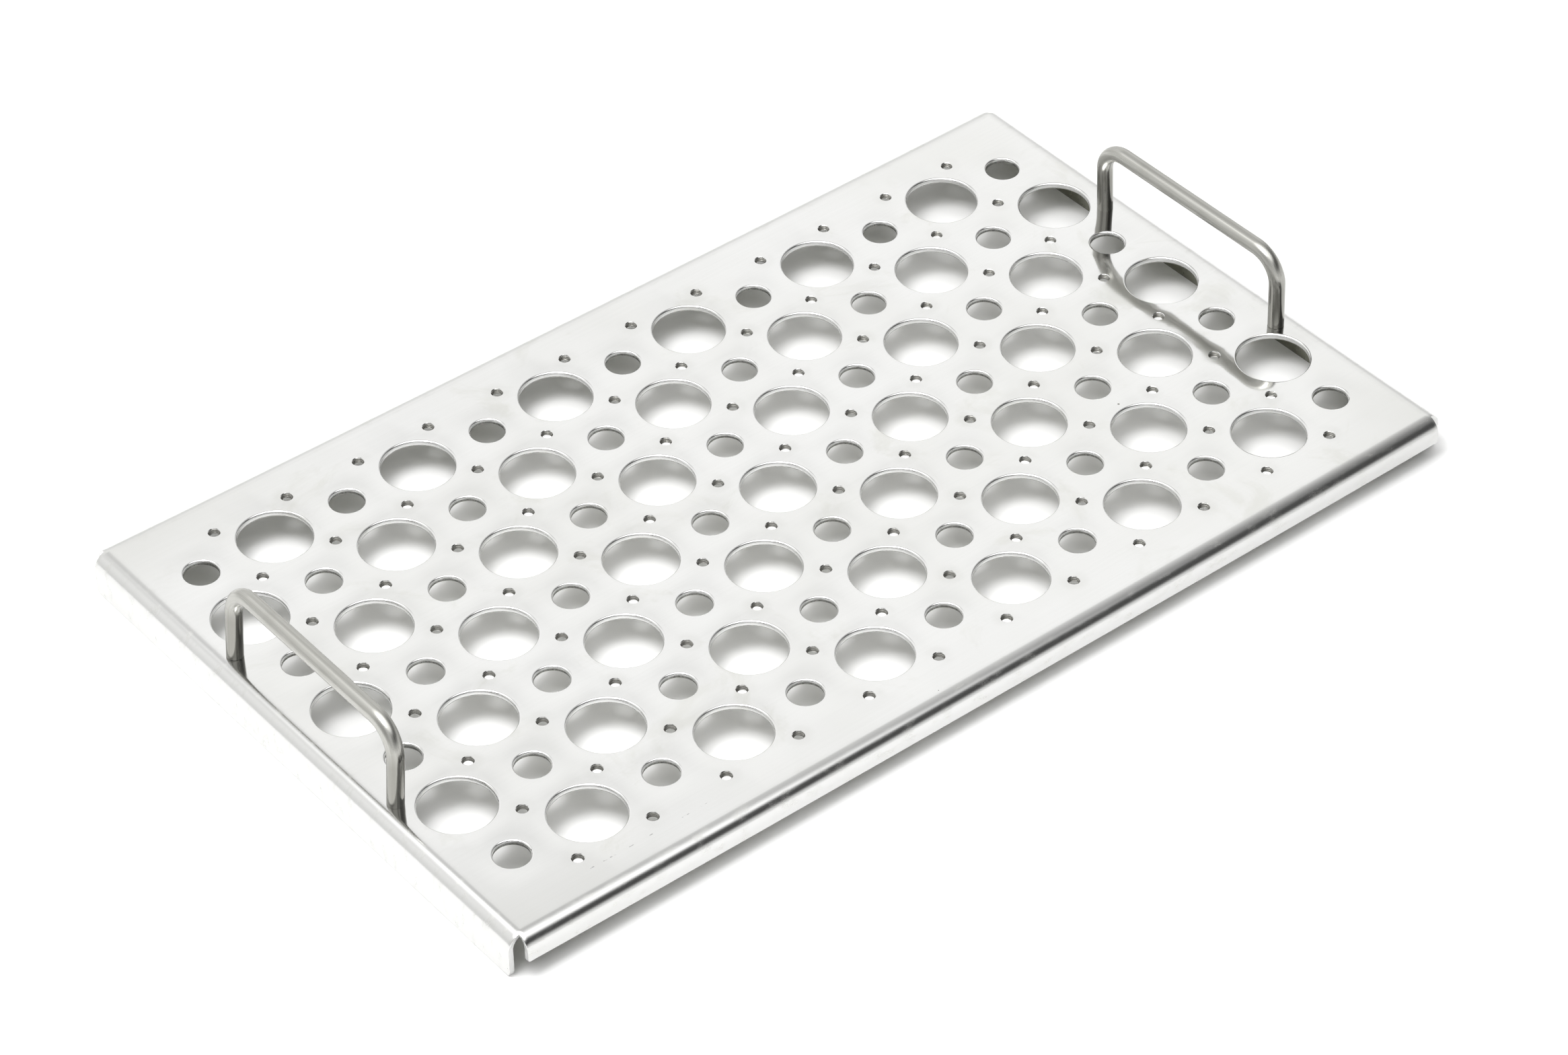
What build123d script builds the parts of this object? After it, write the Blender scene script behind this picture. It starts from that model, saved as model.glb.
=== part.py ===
from build123d import *
import os

# Perforated tray of folded stainless steel sheet, with a bow handle at each end.
# All sizes are in millimetres.  X runs along the tray, Y across it and Z up.
# The origin is under the middle of the tray, on the surface that it stands on.

# Hole pattern: punched holes on a grid, and tapped holes half a pitch between them
columns = 13                # punched holes along the tray
rows = 7                    # and across it
pitch_x = 30.0
pitch_y = 29.2
large_hole = 26.2
medium_hole = 12.6
tap_drill = 3.3             # core of an M4 thread
punch_roll = 1.1            # radius that the punch draws into a hole's upper edge
tap_roll = 0.5
radius_match = 0.01         # radii closer than this are the same size of hole

# Folded sheet
length = 408.0
width = 244.0
sheet = 2.0
bend_radius = 6.0           # outside of the bend
end_depth = 16.0            # the end flanges stand on the surface
side_depth = 9.5            # the side flanges stay clear of it
notch_overlap = 1.6         # how far each flange reaches past the other bend's line
flange_corner = 2.0

# Bow handles of round rod, screwed on from below
rod = 6.0
leg_spacing = 91.0
handle_centre = 194.0       # from the middle of the tray to the rod's centre line
handle_rise = 30.0          # from the top face to the rod's centre line
handle_bend = 11.0          # radius of the rod's centre line
foot_edge = 0.25
foot_bore_depth = 9.0

# M3 button head screw with a hexagon socket, and its spring lock washer
screw_thread = 3.0
thread_gap = 0.05           # between the screw and the threaded bore, all round
screw_length = 8.0
head_diameter = 5.7
head_height = 1.65
head_edge = 0.3
socket_width = 2.0
socket_depth = 1.0
clearance_hole = 3.4
washer_inner = 3.2
washer_outer = 6.2
washer_thickness = 0.8
washer_gap = 0.8

# Every other column or row, starting at the outermost one or at the one inside it
outer_columns = (columns + 1) // 2
inner_columns = (columns - 1) // 2
outer_rows = (rows + 1) // 2
inner_rows = (rows - 1) // 2

top_face = end_depth
underside = top_face - sheet
head_face = underside - washer_thickness
head_bottom = head_face - head_height
feet = {
    "left_rear": (-handle_centre, leg_spacing / 2),
    "left_front": (-handle_centre, -leg_spacing / 2),
    "right_rear": (handle_centre, leg_spacing / 2),
    "right_front": (handle_centre, -leg_spacing / 2),
}

os.makedirs("parts", exist_ok=True)


def top_edges_of_radius(part, radius):
    """The circular edges of one radius in the tray's top face."""
    circles = part.edges().filter_by(GeomType.CIRCLE).group_by(Axis.Z)[-1]
    return [edge for edge in circles if abs(edge.radius - radius) < radius_match]


# The sheet: a shallow pan with its mouth down, notched at the corners and punched
with BuildPart() as perforated_tray:
    with BuildSketch():
        Rectangle(length, width)
    extrude(amount=end_depth)
    fillet(perforated_tray.faces().sort_by(Axis.Z)[-1].edges(), bend_radius)
    offset(amount=-sheet, openings=perforated_tray.faces().sort_by(Axis.Z)[0])

    # a notch at each corner frees the four flanges from one another
    notch = bend_radius - notch_overlap
    with BuildSketch():
        with GridLocations(length, width, 2, 2):
            Rectangle(2 * notch, 2 * notch)
    extrude(amount=end_depth, mode=Mode.SUBTRACT)

    # the side flanges are cut shallower than the end flanges
    with BuildSketch():
        with Locations((0, -width / 2), (0, width / 2)):
            Rectangle(length - 2 * notch, 2 * bend_radius)
    extrude(amount=end_depth - side_depth, mode=Mode.SUBTRACT)

    # the end flanges have rounded lower corners
    lower_corners = perforated_tray.edges().filter_by(Axis.X).group_by(Axis.Z)[0]
    fillet(lower_corners, flange_corner)

    # punched holes: large and medium ones take turns, as on a chessboard
    with BuildSketch(Plane.XY.offset(underside)):
        with GridLocations(2 * pitch_x, 2 * pitch_y, outer_columns, inner_rows):
            Circle(large_hole / 2)
        with GridLocations(2 * pitch_x, 2 * pitch_y, inner_columns, outer_rows):
            Circle(large_hole / 2)
        with GridLocations(2 * pitch_x, 2 * pitch_y, outer_columns, outer_rows):
            Circle(medium_hole / 2)
        with GridLocations(2 * pitch_x, 2 * pitch_y, inner_columns, inner_rows):
            Circle(medium_hole / 2)
    extrude(amount=sheet, mode=Mode.SUBTRACT)
    fillet(top_edges_of_radius(perforated_tray.part, large_hole / 2), punch_roll)
    fillet(top_edges_of_radius(perforated_tray.part, medium_hole / 2), punch_roll)

    # tapped holes for clamps, in the middle of every four punched holes
    with BuildSketch(Plane.XY.offset(underside)):
        with GridLocations(pitch_x, pitch_y, columns - 1, rows + 1):
            Circle(tap_drill / 2)
    extrude(amount=sheet, mode=Mode.SUBTRACT)
    fillet(top_edges_of_radius(perforated_tray.part, tap_drill / 2), tap_roll)

    # clearance holes for the screws that hold the handles
    with BuildSketch(Plane.XY.offset(underside)):
        with Locations(*feet.values()):
            Circle(clearance_hole / 2)
    extrude(amount=sheet, mode=Mode.SUBTRACT)
perforated_tray.part.label = "perforated_tray"
export_step(perforated_tray.part, "parts/perforated_tray.step")


def bow_handle(x):
    """A round rod bent to a bow, with a threaded bore up each leg."""
    half = leg_spacing / 2
    bar_height = top_face + handle_rise
    with BuildPart() as handle:
        with BuildLine(Plane.YZ.offset(x)) as route:
            FilletPolyline((-half, top_face), (-half, bar_height), (half, bar_height), (half, top_face),
                           radius=handle_bend)
        with BuildSketch(Plane.XY.offset(top_face)):
            with Locations((x, -half)):
                Circle(rod / 2)
        sweep(path=route.wire())
        feet_faces = handle.faces().group_by(Axis.Z)[0]
        chamfer(feet_faces.edges(), foot_edge)
        with BuildSketch(Plane.XY.offset(top_face)):
            with Locations((x, -half), (x, half)):
                Circle(screw_thread / 2)
        extrude(amount=foot_bore_depth, mode=Mode.SUBTRACT)
    return handle.part


for side, x in (("left", -handle_centre), ("right", handle_centre)):
    handle_part = bow_handle(x)
    handle_part.label = f"{side}_handle"
    export_step(handle_part, f"parts/{side}_handle.step")


def handle_screw(x, y):
    """A button head screw, head down, that reaches up into a handle's leg."""
    with BuildPart() as screw:
        with BuildSketch(Plane.XY.offset(head_bottom)):
            with Locations((x, y)):
                Circle(head_diameter / 2)
        extrude(amount=head_height)
        lower_edge = screw.edges().filter_by(GeomType.CIRCLE).sort_by(Axis.Z)[0]
        fillet(lower_edge, head_height - head_edge)
        with BuildSketch(Plane.XY.offset(head_face)):
            with Locations((x, y)):
                Circle(screw_thread / 2 - thread_gap)
        extrude(amount=screw_length)
        tip = screw.edges().filter_by(GeomType.CIRCLE).sort_by(Axis.Z)[-1]
        chamfer(tip, head_edge)
        with BuildSketch(Plane.XY.offset(head_bottom)):
            with Locations((x, y)):
                RegularPolygon(socket_width / 2, 6, major_radius=False)
        extrude(amount=socket_depth, mode=Mode.SUBTRACT)
    return screw.part


def lock_washer(x, y):
    """A split ring, pressed flat between the screw's head and the sheet."""
    with BuildPart() as washer:
        with BuildSketch(Plane.XY.offset(head_face)):
            with Locations((x, y)):
                Circle(washer_outer / 2)
                Circle(washer_inner / 2, mode=Mode.SUBTRACT)
            with Locations((x, y + (washer_inner + washer_outer) / 4)):
                Rectangle(washer_gap, washer_outer - washer_inner, mode=Mode.SUBTRACT)
        extrude(amount=washer_thickness)
    return washer.part


for place, (x, y) in feet.items():
    screw_part = handle_screw(x, y)
    screw_part.label = f"{place}_screw"
    export_step(screw_part, f"parts/{place}_screw.step")
    washer_part = lock_washer(x, y)
    washer_part.label = f"{place}_lock_washer"
    export_step(washer_part, f"parts/{place}_lock_washer.step")
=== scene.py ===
"""Looks of the perforated tray.

The sheet is dished and folded. Two bow handles stand on it, held by screws and washers."""

import math
from types import SimpleNamespace

import bpy
import numpy as np
from mathutils import Matrix, Vector
from mathutils.geometry import delaunay_2d_cdt


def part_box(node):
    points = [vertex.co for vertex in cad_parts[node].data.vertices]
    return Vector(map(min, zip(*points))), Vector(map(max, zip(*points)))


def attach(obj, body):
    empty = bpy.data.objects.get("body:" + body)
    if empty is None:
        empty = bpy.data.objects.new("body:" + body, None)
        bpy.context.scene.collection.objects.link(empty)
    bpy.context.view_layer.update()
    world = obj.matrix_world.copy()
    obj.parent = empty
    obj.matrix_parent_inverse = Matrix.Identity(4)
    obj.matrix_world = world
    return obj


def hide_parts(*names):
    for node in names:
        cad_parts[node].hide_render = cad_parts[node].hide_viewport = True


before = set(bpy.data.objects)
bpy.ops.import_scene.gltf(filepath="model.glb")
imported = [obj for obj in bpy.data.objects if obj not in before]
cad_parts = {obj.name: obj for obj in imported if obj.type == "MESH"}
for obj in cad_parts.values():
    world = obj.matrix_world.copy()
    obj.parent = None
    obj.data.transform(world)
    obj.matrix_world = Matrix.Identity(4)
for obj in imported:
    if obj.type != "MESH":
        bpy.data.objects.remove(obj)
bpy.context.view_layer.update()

MM = 0.001

# Sizes of the tray, as in the CAD model
HALF_LENGTH, HALF_WIDTH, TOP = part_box("perforated_tray")[1]
SHEET = 2.0 * MM
BEND = 6.0 * MM                 # outside radius of the bends
SIDE_DEPTH = 9.5 * MM           # depth of the side flanges; the end flanges reach the ground
NOTCH_OVERLAP = 1.6 * MM        # how far each flange reaches past the other bend's line
END_CORNER = 2.0 * MM           # the end flanges' lower corners
COLUMNS = 13                    # punched holes along the tray
ROWS = 7                        # and across it
PITCH = np.array([30.0, 29.2]) * MM
LARGE = 13.1 * MM               # radii of the punched holes
MEDIUM = 6.2 * MM
SCREW_X = 194.0 * MM            # from the middle to the handles' screws
SCREW_Y = 45.5 * MM

# What the CAD model leaves out, or has a little otherwise
SIDE_CORNER = 0.6 * MM          # the side flanges' lower corners
LARGE_ROLL = 0.85 * MM          # radius that the punch draws into a hole's upper edge
MEDIUM_ROLL = 0.75 * MM
DISH = 1.97 * MM                # how far the middle lies below the CAD model's flat face
DISH_SPAN = 6.5, 4.0            # pitches from the middle to where the dish's formula reaches 1
DRAW = 0.085 * MM               # how far punching pulls the sheet down round each hole
DRAW_REACH = 3.2 * MM
LARGE_TEAR = 1.65 * MM          # from this depth down a punched wall is torn, and wider
MEDIUM_TEAR = 1.0 * MM
TEAR = 0.07 * MM                # how much wider it is at the underside
TEAR_NOISE = 0.03 * MM
TORN = 1.65 * MM                # the depth that the marks of a torn edge have in every hole
TAP_MOUTH = 2.25 * MM           # radii of the tapped holes
TAP_ROOT = 2.05 * MM
TAP_CREST = 1.72 * MM
THREAD_PITCH = 0.7 * MM
EDGE = 0.22 * MM                # rounding of the sheet's cut edges
RAGGED = 0.02, 0.05, 0.07, 0.09     # roughness of a nibbled edge in millimetres, from the top down

# The blank is the sheet unfolded. The bends start at FLAT, and the flanges end at END and SIDE.
FLAT = np.array([HALF_LENGTH - BEND, HALF_WIDTH - BEND])
ARC = BEND * math.pi / 2
END = FLAT[0] + ARC + TOP - BEND
SIDE = FLAT[1] + ARC + SIDE_DEPTH - BEND
NOTCH = FLAT + NOTCH_OVERLAP

# Cells: an octagon round each punched hole, and a diamond round each tapped one, in pitches
CUT = 0.2                       # the diamond's half diagonal
ALONG = 10                      # quads along an octagon's straight edges
ACROSS = 5                      # and along its slanting ones
ROLL_STEPS = 4
THREAD_STEPS = 16

# Points are sorted into small cells, which are shifted so that no round value lies on a cell's edge
WELD = 0.001 * MM               # points in one cell of this size are the same
SAME_MIDDLE = 0.01 * MM         # so are edges whose middles share a cell of this one
SHIFT = 0.37

UP = (0, 0, 1)
DOWN = (0, 0, -1)

random = np.random.default_rng(7)


# ---------------------------------------------------------------- the sheet's shape

def dish(x, y):
    """Height of the dished face over the CAD model's flat one, and its slopes along X and Y."""
    u = x / (DISH_SPAN[0] * PITCH[0])
    v = y / (DISH_SPAN[1] * PITCH[1])
    height = (0.0465 * u**2 + 0.0487 * v**2 + 0.0148 * u * v
              + 0.0179 * u**4 + 0.0020 * v**4 - 0.0359 * u**2 * v**2)
    slope_u = 0.0930 * u + 0.0148 * v + 0.0716 * u**3 - 0.0718 * u * v**2
    slope_v = 0.0974 * v + 0.0148 * u + 0.0080 * v**3 - 0.0718 * v * u**2
    return (height * PITCH[0] - DISH, slope_u / DISH_SPAN[0],
            slope_v / DISH_SPAN[1] * PITCH[0] / PITCH[1])


def punched_holes():
    """Column, row and radius of every punched hole. Large and medium ones take turns."""
    for i in range(-(COLUMNS // 2), COLUMNS // 2 + 1):
        for j in range(-(ROWS // 2), ROWS // 2 + 1):
            yield i, j, LARGE if (i + j + COLUMNS // 2 + ROWS // 2) % 2 else MEDIUM


def drawn(x, y):
    """How far punching has pulled the face down at each point, and the slopes that this gives it."""
    height, slope_x, slope_y = np.zeros((3, *np.shape(x)))
    for i, j, radius in punched_holes():
        dx, dy = x - i * PITCH[0], y - j * PITCH[1]
        distance = np.hypot(dx, dy)
        fall = DRAW * np.exp(-((distance - radius) / DRAW_REACH) ** 2)
        height = height - fall
        steep = 2 * (distance - radius) / DRAW_REACH**2 * fall / np.maximum(distance, radius / 2)
        slope_x = slope_x + steep * dx
        slope_y = slope_y + steep * dy
    return height, slope_x, slope_y


def bend(along, flat):
    """Folds one axis of the blank: gives the distance from the middle, the drop and the angle turned."""
    past = np.maximum(np.abs(along) - flat, 0)
    angle = np.minimum(past / BEND, math.pi / 2)
    distance = np.minimum(np.abs(along), flat) + BEND * np.sin(angle)
    drop = BEND * (1 - np.cos(angle)) + np.maximum(past - ARC, 0)
    return np.sign(along) * distance, drop, np.sign(along) * angle


def fold(x, y, depth, normal=UP):
    """Carries points of the blank, at a depth under its upper face, into space.

    Gives the points, their normals, and where they were on the blank."""
    normal = np.asarray(normal, float)
    x, y, depth, _ = np.broadcast_arrays(x, y, depth, normal[..., 0])
    normal = np.broadcast_to(normal, x.shape + (3,))
    far_x, drop_x, turn_x = bend(x, FLAT[0])
    far_y, drop_y, turn_y = bend(y, FLAT[1])
    zero = np.zeros(x.shape)
    up = np.stack([np.sin(turn_x) * np.cos(turn_y), np.sin(turn_y) * np.cos(turn_x),
                   np.cos(turn_x) * np.cos(turn_y)], -1)
    up /= np.linalg.norm(up, axis=-1, keepdims=True)
    out_x = np.stack([np.cos(turn_x), zero, -np.sin(turn_x)], -1)
    out_y = np.stack([zero, np.cos(turn_y), -np.sin(turn_y)], -1)
    points = np.stack([far_x, far_y, TOP - drop_x - drop_y], -1) - up * depth[..., None]
    normals = out_x * normal[..., :1] + out_y * normal[..., 1:2] + up * normal[..., 2:]
    height, slope_x, slope_y = (a + b for a, b in zip(dish(far_x, far_y), drawn(far_x, far_y)))
    share = 1 - drop_x / TOP        # the lower edges of the end flanges stay on the ground
    points[..., 2] += height * share
    normals[..., 0] -= slope_x * share * normals[..., 2]
    normals[..., 1] -= slope_y * share * normals[..., 2]
    normals /= np.linalg.norm(normals, axis=-1, keepdims=True)
    return points, normals, np.stack([x, y, -depth], -1)


# ---------------------------------------------------------------- gathering faces into one mesh

def facing(points, normals, faces):
    """Turns round the faces that look against their normals."""
    a, b, c, d = (points[faces[:, k]] for k in (0, 1, 2, -1))
    if faces.shape[1] == 4:
        across = np.cross(c - a, d - b)
    else:
        across = np.cross(b - a, c - a)
    wrong = np.einsum("ij,ij->i", across, normals[faces].mean(1)) < 0
    return np.where(wrong[:, None], faces[:, ::-1], faces)


class Skin:
    """Gathers faces that have a normal at each corner, then welds them into one closed mesh.

    Every point also has a mark: where it lies on the unworked metal, which the materials follow."""

    def __init__(self):
        self.points = []
        self.normals = []
        self.marks = []
        self.faces = []
        self.count = 0

    def add(self, points, normals, marks, faces):
        points, normals = points.reshape(-1, 3), normals.reshape(-1, 3)
        self.points.append(points)
        self.normals.append(normals)
        self.marks.append(marks.reshape(-1, 3))
        self.faces.append(facing(points, normals, faces) + self.count)
        self.count += len(points)

    def grid(self, points, normals, marks, closed=False):
        """Quads between neighbouring rows and columns; closed joins the last column to the first."""
        index = np.arange(points.shape[0] * points.shape[1]).reshape(points.shape[:2])
        if closed:
            index = np.concatenate([index, index[:, :1]], 1)
        corners = index[:-1, :-1], index[:-1, 1:], index[1:, 1:], index[1:, :-1]
        self.add(points, normals, marks, np.stack(corners, -1).reshape(-1, 4))

    def piece(self, name):
        points, normals, marks = (np.concatenate(a) for a in (self.points, self.normals, self.marks))
        cells = np.floor(points / WELD + SHIFT).astype(np.int64)
        _, first, weld = np.unique(cells, axis=0, return_index=True, return_inverse=True)
        weld = weld.ravel()
        faces, corners = [], []
        for face in (face for block in self.faces for face in block.tolist()):
            kept = [c for k, c in enumerate(face) if weld[c] != weld[face[k - 1]]]
            if len(kept) > 2:
                faces.append([int(weld[c]) for c in kept])
                corners += kept
        mesh = bpy.data.meshes.new(name)
        mesh.from_pydata(points[first].tolist(), [], faces)
        mesh.polygons.foreach_set("use_smooth", [True] * len(faces))
        mesh.normals_split_custom_set(normals[corners].tolist())
        metal = mesh.attributes.new("metal", "FLOAT_VECTOR", "POINT")
        metal.data.foreach_set("vector", marks[first].astype(np.float32).ravel())
        piece = bpy.data.objects.new(name, mesh)
        bpy.context.scene.collection.objects.link(piece)
        return piece


# ---------------------------------------------------------------- the sheet's holes

def ring(corners, steps):
    """Points evenly along the edges of a closed outline, without its last point."""
    ends = zip(corners, np.roll(corners, -1, 0), steps)
    return np.concatenate([np.linspace(a, b, count, endpoint=False) for a, b, count in ends])


SHORT = 0.5 - CUT               # half of an octagon's straight edge, in pitches
OCTAGON = ring(np.array([(0.5, -SHORT), (0.5, SHORT), (SHORT, 0.5), (-SHORT, 0.5),
                         (-0.5, SHORT), (-0.5, -SHORT), (-SHORT, -0.5), (SHORT, -0.5)]),
               (ALONG, ACROSS) * 4) * PITCH
DIAMOND = ring(np.array([(CUT, 0), (0, CUT), (-CUT, 0), (0, -CUT)]), (ACROSS,) * 4) * PITCH


def around(centre, outline, radii):
    """Rows of points about a centre: the outline itself, then a circle of each radius, point by point."""
    angles = np.arctan2(outline[:, 1], outline[:, 0])
    ray = np.stack([np.cos(angles), np.sin(angles)], -1)
    rows = [outline] + [ray * np.reshape(radius, (-1, 1)) for radius in radii]
    return centre + np.stack(rows), ray


def slanted(ray, angle):
    """The normal of a hole's surface that has turned by an angle from the upper face into the hole."""
    return np.concatenate([-ray * math.sin(angle), np.full((len(ray), 1), math.cos(angle))], 1)


def punched_hole(skin, i, j, radius):
    """A punched hole: a rolled upper edge, a burnished wall, a torn lower part and the faces round it."""
    centre = np.array([i, j]) * PITCH
    roll = LARGE_ROLL if radius == LARGE else MEDIUM_ROLL
    turns = np.linspace(0, math.pi / 2, ROLL_STEPS + 1)
    radii = [radius + roll * (1 - math.sin(turn)) for turn in turns]
    depths = [0] + [roll * (1 - math.cos(turn)) for turn in turns]
    turns = [0, *turns]
    if radius == MEDIUM:
        radii.insert(0, radius + DRAW_REACH)
        depths.insert(0, 0)
        turns.insert(0, 0)
    rows, ray = around(centre, OCTAGON, [*radii, radius])
    tear_depth = LARGE_TEAR if radius == LARGE else MEDIUM_TEAR
    torn = tear_depth + TEAR_NOISE * random.standard_normal(len(ray)).clip(-1.5, 1.5)
    depth = np.stack([np.full(len(ray), d) for d in depths] + [torn])
    normals = np.stack([slanted(ray, turn) for turn in [*turns, math.pi / 2]])
    points, normals, marks = fold(rows[..., 0], rows[..., 1], depth, normals)
    marks[-1, :, 2] = -TORN
    skin.grid(points, normals, marks, closed=True)

    rows, ray = around(centre, OCTAGON, [radius, radius + TEAR])
    wall = np.stack([torn, np.full(len(ray), SHEET)])
    slant = math.pi / 2 + math.atan2(TEAR, SHEET - tear_depth)
    points, normals, marks = fold(rows[1:, :, 0], rows[1:, :, 1], wall, slanted(ray, slant))
    marks[0, :, 2] = -TORN
    skin.grid(points, normals, marks, closed=True)
    skin.grid(*fold(rows[[0, 2], :, 0], rows[[0, 2], :, 1], SHEET, DOWN), closed=True)


def tapped_hole(skin, i, j):
    """A tapped hole: a small bevel at its mouth, then the ridges of the thread winding down."""
    centre = np.array([i, j]) * PITCH
    rows, ray = around(centre, DIAMOND, [TAP_MOUTH])
    skin.grid(*fold(rows[..., 0], rows[..., 1], 0, UP), closed=True)

    angles = np.arctan2(ray[:, 1], ray[:, 0])
    depth = np.linspace(0, SHEET, THREAD_STEPS)[:, None]
    wave = 0.5 + 0.5 * np.cos(2 * math.pi * depth / THREAD_PITCH - angles + i * j)
    radius = np.maximum(TAP_CREST + (TAP_ROOT - TAP_CREST) * wave, TAP_MOUTH - depth)
    widening = np.gradient(radius, depth[:, 0], axis=0)
    across = ray[None] * radius[..., None]
    inward = np.concatenate([np.broadcast_to(-ray, across.shape), -widening[..., None]], -1)
    x, y = centre[0] + across[..., 0], centre[1] + across[..., 1]
    skin.grid(*fold(x, y, depth, inward), closed=True)

    rows, _ = around(centre, DIAMOND, [radius[-1]])
    skin.grid(*fold(rows[..., 0], rows[..., 1], SHEET, DOWN), closed=True)


# ---------------------------------------------------------------- the sheet's border and flanges

def spread(stops, longest):
    """Values from the first stop to the last, through all of them, at most so far apart."""
    parts = [np.linspace(a, b, max(1, math.ceil((b - a) / longest - 1e-6)), endpoint=False)
             for a, b in zip(stops, stops[1:])]
    return np.concatenate([*parts, [stops[-1]]])


def both_ways(half):
    """Values from 0 up, and their negatives."""
    return np.concatenate([-half[:0:-1], half])


def rounded(grid, reach, end, corner):
    """Rounds the two outer corners of a flange. grid holds its distance out and its distance along."""
    out, along = grid
    into = np.clip(corner - (reach - np.abs(along)), 0, corner)
    limit = end - (corner - np.sqrt(np.maximum(corner**2 - into**2, 0)))
    start = end - 2 * corner
    return np.where(out > start, start + (out - start) * (limit - start) / (end - start), out), along


INSET = NOTCH - EDGE
FINE = 0.5 * MM                 # the longest quads across the bends and flanges
COARSE = 6.6 * MM               # and along them
end_out = spread([FLAT[0], INSET[0], FLAT[0] + ARC, END - EDGE - 2 * END_CORNER, END - EDGE], FINE)
side_out = spread([FLAT[1], INSET[1], FLAT[1] + ARC, SIDE - EDGE], FINE)
end_first = np.searchsorted(end_out, INSET[0] - EDGE / 2)
side_first = np.searchsorted(side_out, INSET[1] - EDGE / 2)
end_along = both_ways(np.concatenate([spread([0, FLAT[1]], COARSE), side_out[1:side_first + 1]]))
side_along = both_ways(np.concatenate([spread([0, FLAT[0]], COARSE), end_out[1:end_first + 1]]))


def flanges():
    """The blank of each flange: X and Y of its points, the row where the notches begin, and how many
    columns at each end start at that row."""
    for sign in (-1, 1):
        grid = np.meshgrid(end_out, end_along, indexing="ij")
        out, along = rounded(grid, INSET[1], END - EDGE, END_CORNER)
        yield sign * out, along, end_first, 0
        grid = np.meshgrid(side_out, side_along, indexing="ij")
        out, along = rounded(grid, INSET[0], SIDE - EDGE, SIDE_CORNER)
        yield along, sign * out, side_first, end_first


def cut_edge(skin, x, y, first):
    """The cut edge round one flange, from notch to notch: rounded, and ragged where it was nibbled out."""
    loop = np.concatenate([np.stack([x[first:, -1], y[first:, -1]], -1),
                           np.stack([x[-1, -2:0:-1], y[-1, -2:0:-1]], -1),
                           np.stack([x[first:, 0], y[first:, 0]], -1)[::-1]])
    tangent = np.gradient(loop, axis=0)
    out = np.stack([tangent[:, 1], -tangent[:, 0]], -1) / np.linalg.norm(tangent, axis=1)[:, None]
    middle = len(loop) // 2
    out *= np.sign(np.dot(out[middle], loop[middle]))
    reach = out.copy()
    reach[[0, -1]] = np.sign(loop[[0, -1]])         # the notch's corner belongs to two edges

    side = len(x) - first           # only the notches' edges are ragged
    ragged = np.zeros(len(loop))
    ragged[2:side - 4] = ragged[4 - side:-2] = 1
    noise = random.standard_normal((4, len(loop))).clip(-2, 2) * ragged
    turns = np.linspace(0, math.pi / 2, 4)
    rows = []
    for k, turn in enumerate(turns):
        rough = RAGGED[0] * noise[0] * (k > 1)
        rows.append((math.sin(turn) * EDGE, EDGE * (1 - math.cos(turn)), turn, rough))
    rows.append((EDGE, SHEET / 3, math.pi / 2, RAGGED[1] * noise[1]))
    rows.append((EDGE, SHEET / 3 * 2, math.pi / 2, RAGGED[2] * noise[2]))
    for k, turn in enumerate(turns[::-1]):
        rough = RAGGED[3] * noise[3] * (k < 2)
        rows.append((math.sin(turn) * EDGE, SHEET - EDGE * (1 - math.cos(turn)), math.pi - turn, rough))
    at, depth, normal = [], [], []
    for step, below, turn, rough in rows:
        at.append(loop + reach * (step + rough * MM)[:, None])
        depth.append(np.full(len(loop), below))
        normal.append(slanted(-out, turn))
    at = np.stack(at)
    skin.grid(*fold(at[..., 0], at[..., 1], np.stack(depth), np.stack(normal)))


def is_inside(points, edges):
    """Whether each point is inside an outline, by counting the edges that lie to one side of it."""
    inside = np.zeros(len(points), bool)
    for (ax, ay), (bx, by) in edges[edges[:, 0, 1] != edges[:, 1, 1]]:
        crosses = (ay > points[:, 1]) != (by > points[:, 1])
        inside ^= crosses & (points[:, 0] < ax + (points[:, 1] - ay) * (bx - ax) / (by - ay))
    return inside


def edges_of(outline):
    return np.stack([outline, np.roll(outline, -1, 0)], 1)


def cell_rim():
    """The edges where the pattern of cells ends: those that belong to one cell only."""
    cells = [edges_of(OCTAGON + np.array([i, j]) * PITCH) for i, j, _ in punched_holes()]
    cells += [edges_of(DIAMOND + np.array([i, j]) * PITCH) for i, j in tap_places()]
    cells = np.concatenate(cells)
    middles = np.floor(cells.mean(1) / SAME_MIDDLE + SHIFT).astype(np.int64)
    _, where, times = np.unique(middles, axis=0, return_inverse=True, return_counts=True)
    return cells[times[where.ravel()] == 1]


def bend_lines():
    """The outline where the bends begin, through the points that the flanges have there."""
    inner_x = side_along[np.abs(side_along) < FLAT[0] + EDGE / 9]
    inner_y = end_along[np.abs(end_along) < FLAT[1] + EDGE / 9]
    frame_x = np.stack([inner_x, np.full(len(inner_x), FLAT[1])], -1)
    frame_y = np.stack([np.full(len(inner_y), FLAT[0]), inner_y], -1)
    return np.concatenate([frame_y[:-1], frame_x[:0:-1], -frame_y[:-1], -frame_x[:0:-1]])


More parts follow.
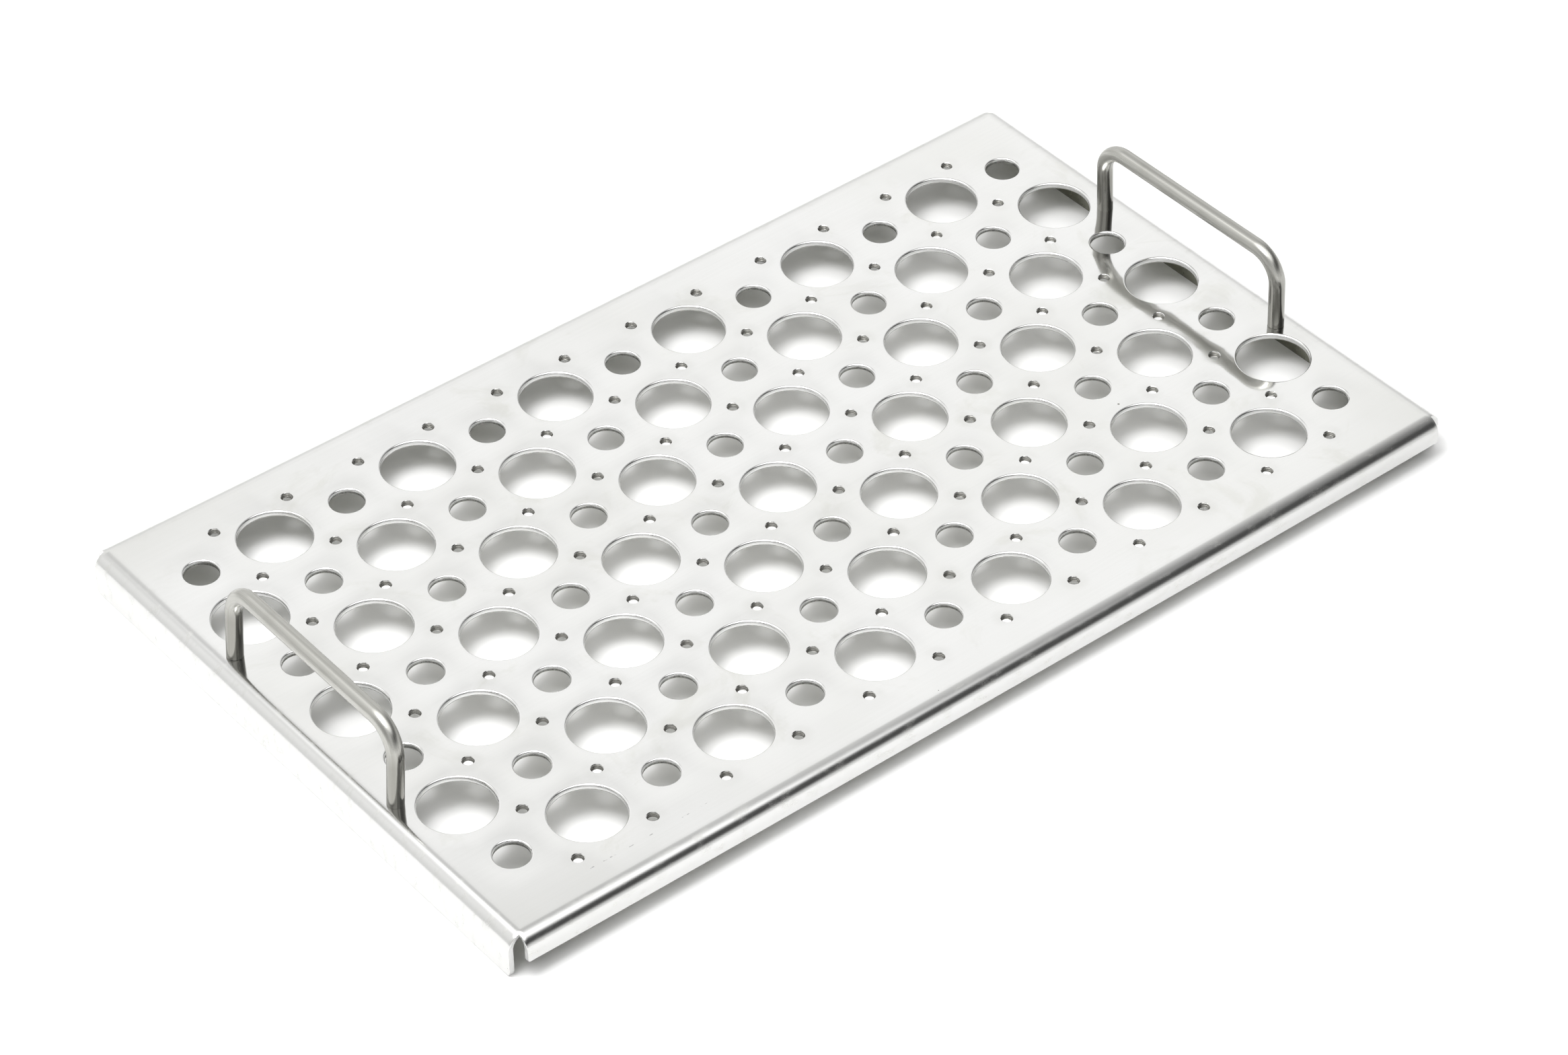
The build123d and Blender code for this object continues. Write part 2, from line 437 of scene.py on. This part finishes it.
def margin(skin, feet):
    """The flat margin between the cells and the bends, with a hole for each handle screw."""
    turn = np.arange(FOOT_POINTS) * 2 * math.pi / FOOT_POINTS
    circle = np.stack([np.cos(turn), np.sin(turn)], -1)
    holes = [foot + circle * SCREW_HOLE for foot in feet]
    edges = np.concatenate([cell_rim(), edges_of(bend_lines())] + [edges_of(hole) for hole in holes])

    ends = edges.reshape(-1, 2)
    cells = np.floor(ends / WELD + SHIFT)
    _, first, weld = np.unique(cells, axis=0, return_index=True, return_inverse=True)
    known = ends[first]
    corners = [Vector(end / MM) for end in known]
    joined = weld.reshape(-1, 2).tolist()
    _, _, faces, sources, _, _ = delaunay_2d_cdt(corners, joined, [], 0, 1e-4)
    flat = known[[source[0] for source in sources]]
    faces = np.array([list(face) for face in faces])
    faces = faces[is_inside(flat[faces].mean(1), edges)]
    for depth, normal in ((0, UP), (SHEET, DOWN)):
        skin.add(*fold(flat[:, 0], flat[:, 1], depth, normal), faces)
    inward = slanted(circle, math.pi / 2)
    for hole in holes:
        skin.grid(*fold(hole[:, 0], hole[:, 1], np.array([[0], [SHEET]]), inward[None]), closed=True)


def tap_places():
    """Column and row of every tapped hole, half a pitch off the punched ones."""
    return [(i + 0.5, j + 0.5) for i in range(-(COLUMNS // 2), COLUMNS // 2)
            for j in range(-(ROWS // 2) - 1, ROWS // 2 + 1)]


def make_tray(feet):
    skin = Skin()
    for i, j, radius in punched_holes():
        punched_hole(skin, i, j, radius)
    for i, j in tap_places():
        tapped_hole(skin, i, j)
    margin(skin, feet)
    for x, y, first, ends in flanges():
        cut_edge(skin, x, y, first)
        parts = [np.s_[:, ends:len(x[0]) - ends]]
        if ends:
            parts += [np.s_[first:, :ends + 1], np.s_[first:, len(x[0]) - ends - 1:]]
        for part in parts:
            for depth, normal in ((0, UP), (SHEET, DOWN)):
                skin.grid(*fold(x[part], y[part], depth, normal))
    return skin.piece("tray_sheet")


# ---------------------------------------------------------------- the handles

ROD = 3.0 * MM                  # radius
ROD_BEND = 11.0 * MM
ROD_POINTS = 48
ROD_STEPS = np.array([2.5, 0.9, 3.0, 0.9, 2.5]) * MM    # longest quads on leg, bend, bar, bend, leg
ROD_LENGTH = 142.0 * MM         # about the length of the bow, from foot to foot
FLATTENED = 0.035               # how much thinner the rod is half way round a bend
FOOT_EDGE = 0.25 * MM
FOOT_POINTS = 24
SCREW_HOLE = 1.7 * MM           # radii
BORE = 1.5 * MM
BORE_DEPTH = 9.0 * MM


def bow(half, rise):
    """The rod's centre line: distance along it, its place across and up, and how far it has turned."""
    straight, bar = rise - ROD_BEND, 2 * (half - ROD_BEND)
    quarter = ROD_BEND * math.pi / 2
    stops = np.cumsum([0, straight, quarter, bar, quarter, straight])
    ends = [FOOT_EDGE, *stops[1:5], stops[5] - FOOT_EDGE]
    parts = [spread(ends[k:k + 2], longest)[:-1] for k, longest in enumerate(ROD_STEPS)]
    along = np.concatenate([*parts, ends[-1:]])
    turn = (np.clip(along - stops[1], 0, quarter) + np.clip(along - stops[3], 0, quarter)) / ROD_BEND
    first, second = np.minimum(turn, math.pi / 2), np.maximum(turn - math.pi / 2, 0)
    across = (-half + ROD_BEND * (1 - np.cos(first)) + np.clip(along - stops[2], 0, bar)
              + ROD_BEND * np.sin(second))
    up = (np.minimum(along, stops[1]) + ROD_BEND * np.sin(first) - ROD_BEND * (1 - np.cos(second))
          - np.maximum(along - stops[4], 0))
    return along, across, up, turn


def add_foot(skin, rim, normals, mark, middle, screw):
    """A handle's foot: its bevelled end on the sheet, and the bore for its screw."""
    circle = (rim[:, :2] - middle) / ROD
    edge = middle + circle * (ROD - FOOT_EDGE)
    mouth = screw + circle * BORE
    edge, mouth = (fold(outline[:, 0], outline[:, 1], 0)[0] for outline in (edge, mouth))
    end = mouth + (0, 0, BORE_DEPTH)
    tip = np.broadcast_to(end.mean(0) + (0, 0, BORE / 2), rim.shape)
    down = np.broadcast_to((0.0, 0.0, -1.0), rim.shape)
    bevel = normals * 0.7 + down * 0.7
    inward = np.concatenate([-circle, 0 * circle[:, :1]], 1)
    for start, stop, normal in ((rim, edge, bevel), (edge, mouth, down),
                                (mouth, end, inward), (end, tip, inward + down)):
        pairs = ([start, stop], [normal, normal], [mark, mark])
        skin.grid(*(np.stack(pair) for pair in pairs), closed=True)


def make_handle(name, node, x, rise, lean):
    """A bow of round rod that stands on the dished sheet, a little askew of its screws, and leans."""
    low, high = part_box(node)
    screw_x, half = (low.x + high.x) / 2, (high.y - low.y) / 2 - ROD
    along, y, up, turn = bow(half, rise)
    upward = np.array([lean, 0, 1]) / math.hypot(1, lean)
    side = np.array([1, 0, -lean]) / math.hypot(1, lean)
    centre = np.array([x, 0, TOP]) + y[:, None] * (0, 1, 0) + up[:, None] * upward
    out = -np.cos(turn)[:, None] * (0, 1, 0) + np.sin(turn)[:, None] * upward
    angle = np.arange(ROD_POINTS) * 2 * math.pi / ROD_POINTS
    normals = np.cos(angle)[:, None] * out[:, None] + np.sin(angle)[:, None] * side
    bending = np.sin(2 * turn) ** 2
    oval = ROD * (1 - FLATTENED * bending[:, None] * np.cos(angle) ** 2)
    points = centre[:, None] + normals * oval[..., None]
    marks = np.broadcast_arrays(along[:, None], np.cos(angle) * ROD, np.sin(angle) * ROD)
    marks = np.stack(marks, -1)
    skin = Skin()
    skin.grid(points, normals, marks, closed=True)
    for row, end in ((0, -half), (-1, half)):
        middle, screw = np.array([x, end]), np.array([screw_x, end])
        add_foot(skin, points[row], normals[row], marks[row], middle, screw)
    return skin.piece(name)


feet = [np.array([x, y]) for x in (-SCREW_X, SCREW_X) for y in (-SCREW_Y, SCREW_Y)]
tray = make_tray(feet)
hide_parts("perforated_tray")
left = make_handle("left_bow", "left_handle", x=-194.8 * MM, rise=29.9 * MM, lean=0.07)
right = make_handle("right_bow", "right_handle", x=193.6 * MM, rise=29.6 * MM, lean=-0.055)
for piece, node in ((left, "left_handle"), (right, "right_handle")):
    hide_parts(node)
for piece in (tray, left, right):
    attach(piece, "root")


# ---------------------------------------------------------------- materials

class Nodes:
    """A short way to build a node tree: add() makes a node and sets or links its inputs.

    An input is given by its name, or as _0, _1 and so on by its number."""

    def __init__(self, tree):
        self.tree = tree
        tree.nodes.clear()

    def add(self, kind, out=0, settings=None, **inputs):
        node = self.tree.nodes.new(kind)
        for key, value in (settings or {}).items():
            setattr(node, key, value)
        for key, value in inputs.items():
            self.set(node, key, value)
        return node.outputs[out] if node.outputs else node

    def set(self, node, key, value):
        socket = node.inputs[int(key[1:])] if key[1:].isdigit() else node.inputs[key.replace("_", " ")]
        if isinstance(value, bpy.types.NodeSocket):
            self.tree.links.new(value, socket)
        else:
            socket.default_value = value

    def math(self, operation, *values, clamp=False):
        return self.add("ShaderNodeMath", settings={"operation": operation, "use_clamp": clamp},
                        **{f"_{k}": v for k, v in enumerate(values)})

    def ramp(self, value, low, high, bottom=0.0, top=1.0):
        """Maps value from low..high to bottom..top, smoothly and clamped."""
        return self.add("ShaderNodeMapRange", settings={"interpolation_type": "SMOOTHSTEP"},
                        Value=value, _1=low, _2=high, _3=bottom, _4=top)

    def noise(self, vector, scale, detail=3.0, roughness=0.55, **more):
        return self.add("ShaderNodeTexNoise", Vector=vector, Scale=scale, Detail=detail,
                        Roughness=roughness, **more)

    def stretch(self, vector, x, y, z):
        return self.add("ShaderNodeMapping", Vector=vector, Scale=(x, y, z))

    def mix(self, factor, a, b):
        return self.add("ShaderNodeMix", out=2, settings={"data_type": "RGBA"}, _0=factor, _6=a, _7=b)

    def lerp(self, factor, a, b):
        return self.add("ShaderNodeMix", settings={"data_type": "FLOAT"}, _0=factor, _2=a, _3=b)

    def times(self, *factors):
        product = factors[0]
        for factor in factors[1:]:
            product = self.math("MULTIPLY", product, factor)
        return product

    def vector(self, operation, a, b=(0, 0, 0), out=0):
        return self.add("ShaderNodeVectorMath", out=out, settings={"operation": operation}, _0=a, _1=b)

    def split(self, vector):
        return self.add("ShaderNodeSeparateXYZ", Vector=vector).node.outputs


def metal(name, colour, roughness):
    """A new metal: its nodes, its shader and the place on the unworked metal."""
    material = bpy.data.materials.new(name)
    material.use_nodes = True
    nodes = Nodes(material.node_tree)
    shader = nodes.add("ShaderNodeBsdfPrincipled", Metallic=1.0, Roughness=roughness,
                       Base_Color=(*colour, 1)).node
    nodes.add("ShaderNodeOutputMaterial", Surface=shader.outputs[0])
    return material, nodes, shader


def grey(value, blue=1.0):
    return value, value, value * blue, 1


def tap_distance(nodes, place, x):
    """Distance to the nearest tapped hole; far away outside the pattern of holes."""
    step = (PITCH[0], PITCH[1], 1)
    cell = nodes.vector("FRACTION", nodes.vector("DIVIDE", place, step))
    off = nodes.vector("SUBTRACT", cell, (0.5, 0.5, 0))
    off = nodes.vector("MULTIPLY", off, (PITCH[0], PITCH[1], 0))
    beyond = nodes.math("GREATER_THAN", nodes.math("ABSOLUTE", x), COLUMNS // 2 * PITCH[0])
    return nodes.math("ADD", nodes.vector("LENGTH", off, out=1), beyond)


def in_bend(nodes, x, y):
    """1 on the bends and flanges, where forming has dulled the sheet."""
    past_x = nodes.math("SUBTRACT", nodes.math("ABSOLUTE", x), FLAT[0])
    past_y = nodes.math("SUBTRACT", nodes.math("ABSOLUTE", y), FLAT[1])
    return nodes.ramp(nodes.math("MAXIMUM", past_x, past_y), -1.5 * MM, 2.5 * MM)


def rubbed_line(nodes, x, y, along):
    """A broken line of short rub marks beside the front bend."""
    off = nodes.math("ABSOLUTE", nodes.math("ADD", y, 108.5 * MM))
    near = nodes.ramp(off, 0.12 * MM, 0.3 * MM, 1.0, 0.0)
    begins = nodes.ramp(x, -176 * MM, -168 * MM)
    ends = nodes.ramp(x, -118 * MM, -108 * MM, 1.0, 0.0)
    part = nodes.times(begins, ends)
    return nodes.times(near, part, nodes.ramp(along, 0.55, 0.6))


def specks(nodes, place, scale, size, share):
    """Small dark marks at random places; share sets how many of the cells have one."""
    cells = nodes.add("ShaderNodeTexVoronoi", Vector=place, Scale=scale).node.outputs
    lot = nodes.split(cells[1])
    shown = nodes.math("GREATER_THAN", share, lot[0])
    reach = nodes.times(lot[1], size * scale)
    return nodes.times(nodes.math("GREATER_THAN", reach, cells[0]), shown)


def worn_corners(nodes, x, y):
    """Duller metal towards three of the corners, where the tray is picked up."""
    area = nodes.math("ABSOLUTE", nodes.math("MULTIPLY", x, y))
    bright = nodes.ramp(nodes.math("ADD", x, y), 0.16, 0.26, 1.0, 0.0)
    return nodes.times(nodes.ramp(area, 0.013, 0.024), bright)


WALL_FOOT = -1.99 * MM, -1.92 * MM      # marks of the underside, and of a wall just above it


def sheet_zones(nodes, place):
    """Where on the sheet a point is: each zone is 1 inside and 0 outside."""
    x, y, z = nodes.split(place)
    bends = in_bend(nodes, x, y)
    distance = tap_distance(nodes, place, x)
    inside = nodes.times(nodes.ramp(z, *WALL_FOOT), nodes.math("SUBTRACT", 1.0, bends))
    lower = nodes.ramp(z, -1.75 * MM, -1.6 * MM, 1.0, 0.0)
    upper = nodes.ramp(z, -0.6 * MM, -0.1 * MM, 1.0, 0.0)
    return SimpleNamespace(
        bends=bends,
        distance=distance,
        # thread marks the tapped holes' threads, whose darker colour is partly painted shade
        thread=nodes.times(nodes.ramp(distance, 2.2 * MM, 2.4 * MM, 1.0, 0.0),
                           nodes.ramp(z, -0.3 * MM, -0.1 * MM, 1.0, 0.0)),
        cut=nodes.times(lower, inside),
        roll=nodes.times(upper, inside),
        # under marks the underside and the flanges' inner faces, which get painted shade: a darker olive
        # grey
        under=nodes.ramp(z, *WALL_FOOT, 1.0, 0.0),
        edge=nodes.times(bends, nodes.ramp(z, -0.3 * MM, -0.12 * MM, 1.0, 0.0),
                         nodes.ramp(z, *WALL_FOOT)),
        handled=worn_corners(nodes, x, y),
        lines=rubbed_line(nodes, x, y, nodes.noise(place, 240.0, 2.0)))


def sheet_wear(nodes, place, zone):
    """Clouds, stains, rings round the tapped holes, rolling streaks, and scuffs on the bends."""
    ring_noise = nodes.ramp(nodes.noise(place, 60.0, 3.0), 0.35, 0.65)
    scuff_noise = nodes.noise(nodes.stretch(place, 120.0, 260.0, 200.0), 1.0, 4.0, 0.65)
    return SimpleNamespace(
        cloud=nodes.ramp(nodes.noise(place, 13.0, 3.0), 0.35, 0.68),
        stain=nodes.ramp(nodes.noise(place, 34.0, 5.0, 0.6, Distortion=0.7), 0.56, 0.72),
        halo=nodes.times(nodes.ramp(zone.distance, 2.6 * MM, 6.5 * MM, 1.0, 0.0), ring_noise),
        streak=nodes.noise(nodes.stretch(place, 14.0, 900.0, 900.0), 1.0, 4.0, 0.6),
        scuff=nodes.times(zone.bends, nodes.ramp(scuff_noise, 0.5, 0.66)))


def sheet_shade(nodes, place, zone, wear):
    dots = specks(nodes, place, 75.0, 0.55 * MM, 0.22)
    grain = nodes.noise(nodes.stretch(place, 1.0, 1.0, 2.6), 2400.0, 2.0)
    torn = nodes.mix(nodes.ramp(grain, 0.35, 0.65), grey(0.16, 0.96), grey(0.4, 0.96))
    shade = nodes.mix(wear.cloud, grey(0.765, 0.995), grey(0.735, 0.985))
    shade = nodes.mix(nodes.ramp(wear.streak, 0.3, 0.75, 0.0, 0.12), shade, grey(0.66, 0.98))
    shade = nodes.mix(nodes.times(wear.stain, 0.55), shade, (0.66, 0.66, 0.625, 1))
    shade = nodes.mix(nodes.times(wear.halo, 0.25), shade, (0.6, 0.6, 0.575, 1))
    shade = nodes.mix(nodes.times(zone.handled, 0.45), shade, (0.62, 0.62, 0.60, 1))
    shade = nodes.mix(nodes.times(zone.bends, 0.7), shade, grey(0.6, 0.99))
    shade = nodes.mix(nodes.times(wear.scuff, 0.35), shade, (0.56, 0.56, 0.53, 1))
    shade = nodes.mix(nodes.times(zone.lines, 0.6), shade, grey(0.3))
    shade = nodes.mix(nodes.times(dots, 0.8), shade, (0.2, 0.2, 0.17, 1))
    # Painted shade: the underside is darkened to olive grey, and the inner faces of the bends and flanges
    # more so, so that the shadows under the tray and in the holes come out dark and olive; the metal's
    # real colour there is not known.
    shade = nodes.mix(nodes.times(zone.under, 0.8), shade, grey(0.44, 0.86))
    shade = nodes.mix(nodes.times(zone.under, zone.bends, 0.85), shade, grey(0.27, 0.82))
    shade = nodes.mix(zone.edge, shade, grey(0.8, 0.99))
    shade = nodes.mix(zone.cut, shade, torn)
    # The thread is darker: partly oil and residue from cutting it, partly painted shade in the small hole.
    return nodes.mix(zone.thread, shade, (0.3, 0.295, 0.275, 1))


def sheet_roughness(nodes, zone, wear):
    rough = nodes.lerp(wear.cloud, 0.055, 0.085)
    rough = nodes.lerp(nodes.times(wear.stain, 0.6), rough, 0.15)
    rough = nodes.lerp(wear.halo, rough, 0.12)
    rough = nodes.lerp(zone.roll, rough, 0.3)
    rough = nodes.lerp(zone.bends, rough, 0.2)
    rough = nodes.lerp(wear.scuff, rough, 0.28)
    rough = nodes.lerp(nodes.math("MAXIMUM", zone.cut, zone.thread), rough, 0.36)
    return nodes.lerp(zone.edge, rough, 0.5)


def sheet_relief(nodes, place, zone, wear):
    """Long waves in the sheet, and tool marks on the torn part of the holes."""
    tool = nodes.noise(nodes.stretch(place, 900.0, 900.0, 300.0), 1.0, 2.0)
    tool = nodes.times(tool, nodes.times(zone.cut, 0.12))
    height = nodes.math("ADD", nodes.noise(place, 26.0, 1.5), tool)
    height = nodes.math("ADD", height, nodes.times(wear.streak, 0.0005))
    return nodes.add("ShaderNodeBump", Strength=0.25, Distance=0.5 * MM, Height=height)


def sheet_steel():
    """Bright rolled stainless steel: clouds, wiping stains, specks, and dull rings where it was tapped."""
    material, nodes, shader = metal("bright_sheet", (0.9, 0.9, 0.89), 0.1)
    place = nodes.add("ShaderNodeAttribute", out=1, settings={"attribute_name": "metal"})
    zone = sheet_zones(nodes, place)
    wear = sheet_wear(nodes, place, zone)
    nodes.set(shader, "Base_Color", sheet_shade(nodes, place, zone, wear))
    nodes.set(shader, "Roughness", sheet_roughness(nodes, zone, wear))
    nodes.set(shader, "Normal", sheet_relief(nodes, place, zone, wear))
    return material


def rod_steel():
    """Cold drawn stainless rod: duller than the sheet, with streaks along it; its legs shinier, and darker
    by painted shade that stands for the dark reflections they show.
    """
    material, nodes, shader = metal("drawn_rod", (0.46, 0.46, 0.44), 0.4)
    place = nodes.add("ShaderNodeAttribute", out=1, settings={"attribute_name": "metal"})
    streak = nodes.noise(nodes.stretch(place, 16.0, 1900.0, 1900.0), 1.0, 5.0, 0.7)
    patch = nodes.noise(place, 90.0, 4.0, 0.6)
    dots = specks(nodes, place, 260.0, 0.3 * MM, 0.2)
    from_middle = nodes.math("SUBTRACT", nodes.split(place)[0], ROD_LENGTH / 2)
    from_middle = nodes.math("ABSOLUTE", from_middle)
    # The legs, which get painted shade below.
    legs = nodes.ramp(from_middle, ROD_LENGTH / 2 - 26 * MM, ROD_LENGTH / 2 - 16 * MM)

    shade = nodes.mix(nodes.ramp(streak, 0.35, 0.68), (0.46, 0.457, 0.432, 1), (0.36, 0.357, 0.332, 1))
    shade = nodes.mix(nodes.ramp(patch, 0.52, 0.75, 0.0, 0.5), shade, (0.35, 0.345, 0.32, 1))
    shade = nodes.mix(nodes.times(dots, 0.7), shade, (0.16, 0.15, 0.13, 1))
    # Painted shade: the legs' darker colour stands in for the dark reflections on them.
    shade = nodes.mix(nodes.times(legs, 0.62), shade, (0.2, 0.195, 0.175, 1))
    nodes.set(shader, "Base_Color", shade)

    rough = nodes.ramp(streak, 0.3, 0.7, 0.25, 0.36)
    nodes.set(shader, "Roughness", nodes.lerp(nodes.times(legs, 0.7), rough, 0.1))
    relief = nodes.add("ShaderNodeBump", Strength=0.3, Distance=0.03 * MM, Height=streak)
    nodes.set(shader, "Normal", relief)
    return material


def plain_steel(name, colour):
    """Evenly grained steel, for the screws and washers."""
    material, nodes, shader = metal(name, colour, 0.3)
    place = nodes.add("ShaderNodeTexCoord", out=3)
    grain = nodes.noise(place, 900.0, 4.0)
    nodes.set(shader, "Base_Color", nodes.mix(grain, (*colour, 1), (*[c * 0.8 for c in colour], 1)))
    nodes.set(shader, "Roughness", nodes.ramp(grain, 0.3, 0.7, 0.22, 0.4))
    return material


tray.data.materials.append(sheet_steel())
rod = rod_steel()
for piece in (left, right):
    piece.data.materials.append(rod)
screw_steel = plain_steel("screw_steel", (0.66, 0.66, 0.65))
washer_steel = plain_steel("washer_steel", (0.55, 0.55, 0.54))
for name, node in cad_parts.items():
    if name.endswith(("screw", "lock_washer")):
        material = screw_steel if name.endswith("screw") else washer_steel
        node.data.materials.clear()
        node.data.materials.append(material)


# ---------------------------------------------------------------- floor, light and camera

FLOOR = 1.6                     # from its middle to its edges
FLOOR_DROP = 0.05 * MM          # keeps it clear of the end flanges' lower edges


def make_floor():
    mesh = bpy.data.meshes.new("floor")
    r, z = FLOOR, -FLOOR_DROP
    mesh.from_pydata([(-r, -r, z), (r, -r, z), (r, r, z), (-r, r, z)], [], [(0, 1, 2, 3)])
    floor = bpy.data.objects.new("floor", mesh)
    bpy.context.scene.collection.objects.link(floor)
    material = bpy.data.materials.new("white_paper")
    material.use_nodes = True
    nodes = Nodes(material.node_tree)
    shader = nodes.add("ShaderNodeBsdfDiffuse", Color=(0.93, 0.93, 0.93, 1))
    nodes.add("ShaderNodeOutputMaterial", Surface=shader)
    mesh.materials.append(material)


# The studio: a soft key light overhead at the near left, a wide faint box over the middle, and walls that
# are bright at the left and at the far side and dim at the near right
BOX_HEIGHT = 1.2
BOX_FALLOFF = 0.5               # where the brightness has fallen to nothing, from the middle of the box
KEY = {"place": (-0.5, -0.07), "size": (0.85, 0.85), "turn": math.radians(17), "power": 28.0, "full": 0.15}
WIDE = {"place": (-0.23, -0.15), "size": (2.6, 1.4), "turn": math.radians(-56.7), "power": 19.0,
        "full": 0.27}
TO_LEFT = (-0.72, 0.695, 0.0)   # directions as the camera sees them
TO_FAR = (0.631, 0.776, 0.0)
TO_FLAG = (0.479, -0.741, 0.471)    # a dark patch at the right, which the front bend mirrors


def make_box(name, place, size, turn, power, full):
    """A soft box overhead whose brightness falls off from the share called full to its rims."""
    data = bpy.data.lights.new(name, "AREA")
    data.shape = "RECTANGLE"
    data.size, data.size_y = size
    data.energy = power
    data.use_nodes = True
    nodes = Nodes(data.node_tree)
    place_on_box = nodes.add("ShaderNodeNewGeometry", out=5)
    parts = nodes.add("ShaderNodeSeparateXYZ", Vector=place_on_box).node.outputs
    fall = []
    for part in (parts[0], parts[1]):
        off = nodes.math("ABSOLUTE", nodes.math("SUBTRACT", part, 0.5))
        fall.append(nodes.ramp(off, full, BOX_FALLOFF, 1.0, 0.0))
    emission = nodes.add("ShaderNodeEmission", Strength=nodes.times(*fall))
    nodes.add("ShaderNodeOutputLight", Surface=emission)
    lamp = bpy.data.objects.new(name, data)
    bpy.context.scene.collection.objects.link(lamp)
    lamp.location = (*place, BOX_HEIGHT)
    lamp.rotation_euler = (0, 0, turn)


def make_world():
    """Light from all round, which differs by direction because the sheet is nearly a mirror."""
    world = bpy.data.worlds.new("studio")
    bpy.context.scene.world = world
    world.use_nodes = True
    nodes = Nodes(world.node_tree)
    direction = nodes.add("ShaderNodeTexCoord", out=0)
    height = nodes.split(direction)[2]
    left = nodes.vector("DOT_PRODUCT", direction, TO_LEFT, out=1)
    far = nodes.vector("DOT_PRODUCT", direction, TO_FAR, out=1)
    flag = nodes.vector("DOT_PRODUCT", direction, TO_FLAG, out=1)
    wall = nodes.times(nodes.ramp(left, -0.72, -0.1, 0.28, 1.2), nodes.ramp(far, -0.7, 0.0, 0.38, 1.0),
                       nodes.ramp(flag, 0.86, 0.965, 1.0, 0.3))
    rise = nodes.math("SUBTRACT", nodes.ramp(height, 0.0, 0.6, 0.84, 1.0),
                      nodes.ramp(height, 0.62, 0.8, 0.0, 0.37))
    horizon = nodes.ramp(height, 0.08, 0.42, 1.0, 0.0)
    behind = nodes.times(nodes.ramp(nodes.math("ABSOLUTE", left), 0.25, 0.45, 0.8, 0.0),
                         nodes.ramp(far, -0.3, -0.05, 1.0, 0.0))
    glow = nodes.math("MAXIMUM", nodes.times(wall, rise), horizon)
    glow = nodes.math("MAXIMUM", glow, behind)
    seen = nodes.add("ShaderNodeLightPath", out=0)
    strength = nodes.lerp(seen, glow, 1.0)      # the camera itself sees plain white
    light = nodes.add("ShaderNodeBackground", Color=(1, 1, 0.99, 1), Strength=strength)
    nodes.add("ShaderNodeOutputWorld", Surface=light)


make_floor()
make_box("key", **KEY)
make_box("wide", **WIDE)
make_world()

AIM = Vector((-0.0124, -0.0182, 0.0142))
DISTANCE = 1.5747
AZIMUTH, ELEVATION, ROLL = (math.radians(degrees) for degrees in (-39.14, 40.68, -0.235))
camera = bpy.data.objects.new("camera", bpy.data.cameras.new("camera"))
bpy.context.scene.collection.objects.link(camera)
bpy.context.scene.camera = camera
camera.data.lens = 105.8
camera.data.sensor_width = 36.0
camera.data.clip_start = 0.05
back = Vector((math.sin(AZIMUTH) * math.cos(ELEVATION),
               -math.cos(AZIMUTH) * math.cos(ELEVATION),
               math.sin(ELEVATION)))
camera.location = AIM + back * DISTANCE
camera.rotation_mode = "QUATERNION"
level = (-back).to_track_quat("-Z", "Y")
camera.rotation_quaternion = level @ Matrix.Rotation(ROLL, 3, "Z").to_quaternion()

bpy.context.scene.view_settings.view_transform = "Standard"
